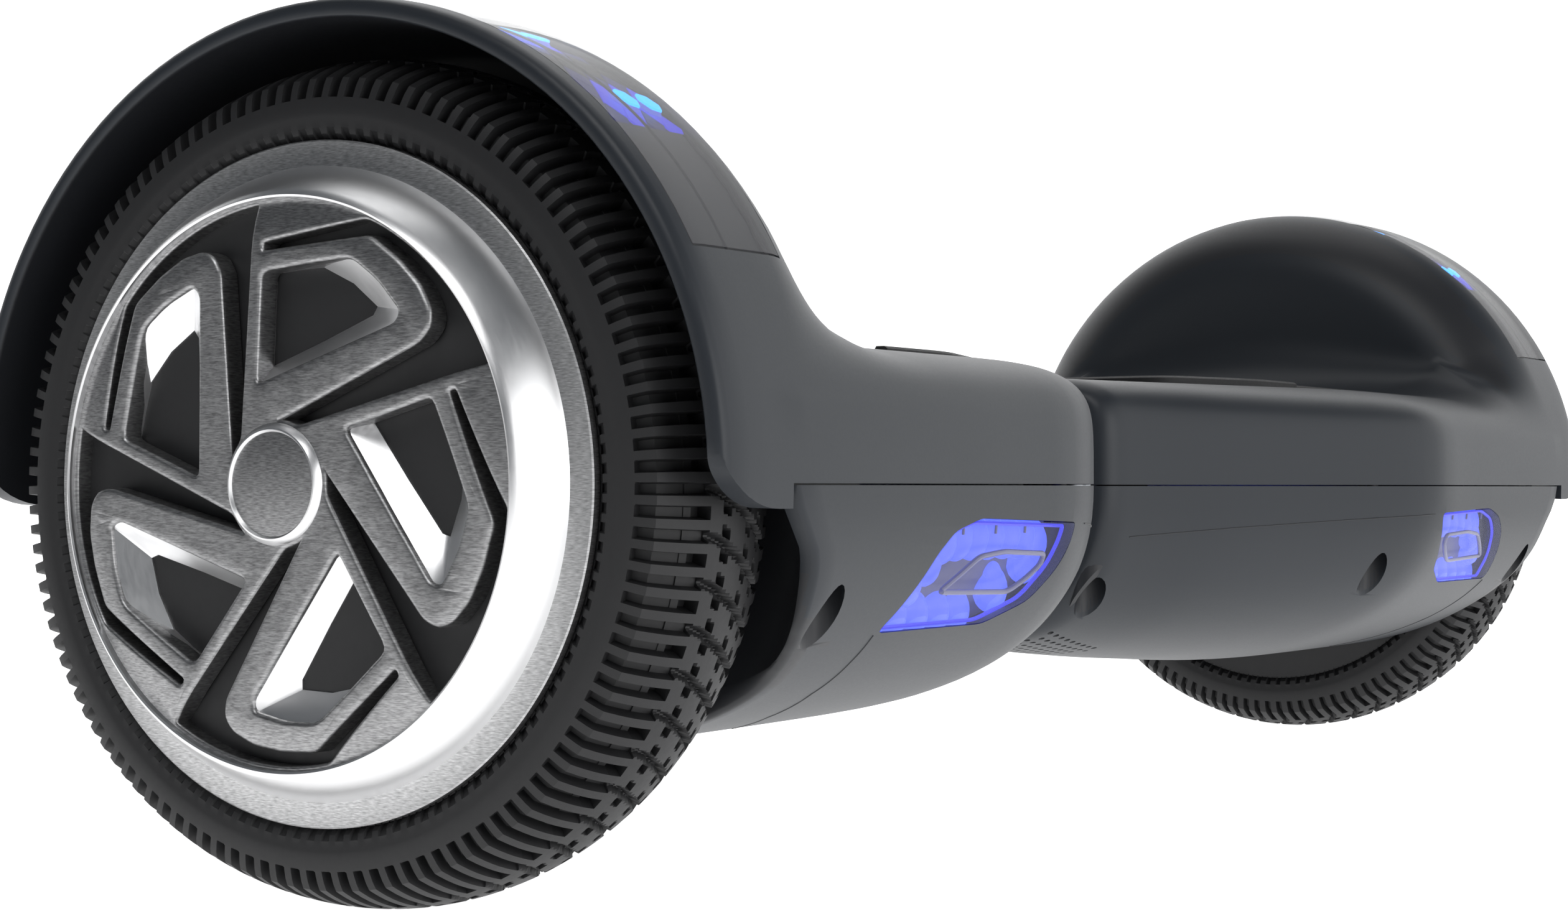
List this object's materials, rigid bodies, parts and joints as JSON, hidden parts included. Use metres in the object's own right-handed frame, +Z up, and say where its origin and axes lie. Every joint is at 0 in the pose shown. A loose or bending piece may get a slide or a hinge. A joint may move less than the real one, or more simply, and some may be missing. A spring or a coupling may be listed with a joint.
{
  "type": "self balancing hoverboard",
  "caption": "Self balancing board: halves that twist on a middle pivot, hub motor wheels under lit fender arches, foot pads and blue headlights.",
  "frame": {"origin": "on the floor below the middle of the board, under the pivot between the halves", "axes": "+X along the wheels' axle to the right half, -Y the front with the headlights, +Z up"},
  "size_m": [0.5788, 0.1931, 0.1805],
  "materials": {
    "shell": "satin dark grey",
    "light_lens": "smoky clear",
    "headlight_lens": "smoky clear",
    "led_board": "glowing blue",
    "fastener": "dark steel",
    "foot_rubber": "ribbed matt",
    "cast_frame": "cast",
    "circuit_board": "satin",
    "pivot_steel": "turned",
    "bush": "turned",
    "collar": "satin light grey",
    "battery_wrap": "shrink wrap",
    "speaker": "matt",
    "black_plastic": "matt",
    "silver_plastic": "satin silver",
    "tyre": "matt",
    "rim": "cast",
    "magnet": "nickel",
    "bearing": "ground",
    "shaft": "ground",
    "core": "laminated",
    "windings": "enamelled wire",
    "silver_cover": "brushed silver",
    "cap": "brushed silver"
  },
  "bodies": {
    "left_half": {"left_frame": "cast_frame", "left_upper_shell": "shell", "left_lower_shell": "shell", "left_fender_light_lens": "light_lens", "left_fender_light_board": "led_board", "left_headlight_lens": "headlight_lens", "left_headlight_board": "led_board", "left_shell_screws": "fastener", "left_axle_clamp": "cast_frame", "left_clamp_bolts": "fastener", "left_sensor_board": "circuit_board", "left_stator_shaft": "shaft", "left_stator_core": "core", "left_stator_windings": "windings", "pivot_tube": "pivot_steel", "left_pivot_sleeve": "bush", "pivot_circlip": "fastener", "centre_collar": "collar", "battery_pack": "battery_wrap", "charge_socket": "black_plastic"},
    "right_half": {"right_frame": "cast_frame", "right_upper_shell": "shell", "right_lower_shell": "shell", "right_fender_light_lens": "light_lens", "right_fender_light_board": "led_board", "right_headlight_lens": "headlight_lens", "right_headlight_board": "led_board", "right_shell_screws": "fastener", "right_axle_clamp": "cast_frame", "right_clamp_bolts": "fastener", "right_sensor_board": "circuit_board", "right_stator_shaft": "shaft", "right_stator_core": "core", "right_stator_windings": "windings", "right_pivot_bush": "bush", "main_board": "circuit_board", "speaker": "speaker", "button_bezel": "black_plastic"},
    "left_wheel": {"left_rotor_rim": "rim", "left_magnet_ring": "magnet", "left_motor_cover": "rim", "left_wheel_bearings": "bearing", "left_tyre": "tyre", "left_wheel_cover": "silver_cover", "left_wheel_backplate": "black_plastic", "left_hub_cap": "cap"},
    "right_wheel": {"right_rotor_rim": "rim", "right_magnet_ring": "magnet", "right_motor_cover": "rim", "right_wheel_bearings": "bearing", "right_tyre": "tyre", "right_wheel_cover": "silver_cover", "right_wheel_backplate": "black_plastic", "right_hub_cap": "cap"},
    "left_pad": {"left_foot_pad": "foot_rubber"},
    "right_pad": {"right_foot_pad": "foot_rubber"},
    "power_button": {"power_button": "silver_plastic"},
    "charge_cover": {"charge_cover": "foot_rubber"}
  },
  "joints": [
    {"name": "halves_twist", "type": "hinge", "parent": "left_half", "child": "right_half", "pos_m": [0, 0, 0.085], "axis": [1, 0, 0], "range_deg": [-12, 12]},
    {"name": "left_wheel_spin", "type": "hinge", "parent": "left_half", "child": "left_wheel", "pos_m": [-0.256, 0, 0.085], "axis": [1, 0, 0], "continuous": true},
    {"name": "right_wheel_spin", "type": "hinge", "parent": "right_half", "child": "right_wheel", "pos_m": [0.256, 0, 0.085], "axis": [1, 0, 0], "continuous": true},
    {"name": "left_pad_press", "type": "slide", "parent": "left_half", "child": "left_pad", "axis": [0, 0, -1], "range_m": [0, 0.0012], "stiffness_N_per_m": 3000, "springref_m": -0.001},
    {"name": "right_pad_press", "type": "slide", "parent": "right_half", "child": "right_pad", "axis": [0, 0, -1], "range_m": [0, 0.0012], "stiffness_N_per_m": 3000, "springref_m": -0.001},
    {"name": "power_button_press", "type": "slide", "parent": "right_half", "child": "power_button", "axis": [0, -1, 0], "range_m": [0, 0.0015], "stiffness_N_per_m": 400, "springref_m": -0.001},
    {"name": "charge_cover_hinge", "type": "hinge", "parent": "left_half", "child": "charge_cover", "pos_m": [-0.15, 0.0962, 0.0836], "axis": [1, 0, 0], "range_deg": [0, 110]}
  ]
}
